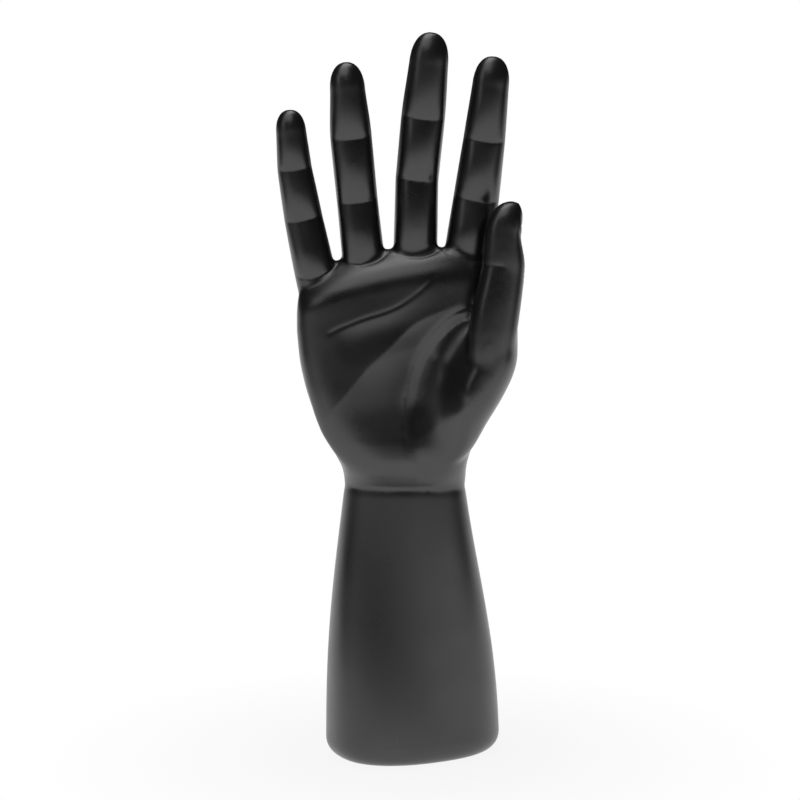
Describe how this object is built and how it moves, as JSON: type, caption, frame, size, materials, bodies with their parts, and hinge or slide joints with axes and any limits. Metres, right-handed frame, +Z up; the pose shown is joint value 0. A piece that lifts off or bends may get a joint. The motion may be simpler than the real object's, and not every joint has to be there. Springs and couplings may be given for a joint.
{
  "type": "hand mannequin",
  "caption": "Display hand in black plastic: an open right hand standing upright on its forearm, hollow and weighted at the base, for showing rings, bracelets and gloves.",
  "frame": {"origin": "middle of the flat underside, on the plane the hand stands on", "axes": "+Z up along the forearm to the fingertips, -Y out of the palm, +X to the thumb side"},
  "size_m": [0.1016, 0.0628, 0.3003],
  "materials": {
    "shell_plastic": "satin to semi-gloss black moulded plastic",
    "plug_plastic": "matte black moulded plastic",
    "ballast_iron": "as cast, unpainted"
  },
  "bodies": {
    "root": {"palm_shell": "shell_plastic", "back_shell": "shell_plastic", "base_plug": "plug_plastic", "ballast_weight": "ballast_iron"}
  },
  "joints": []
}
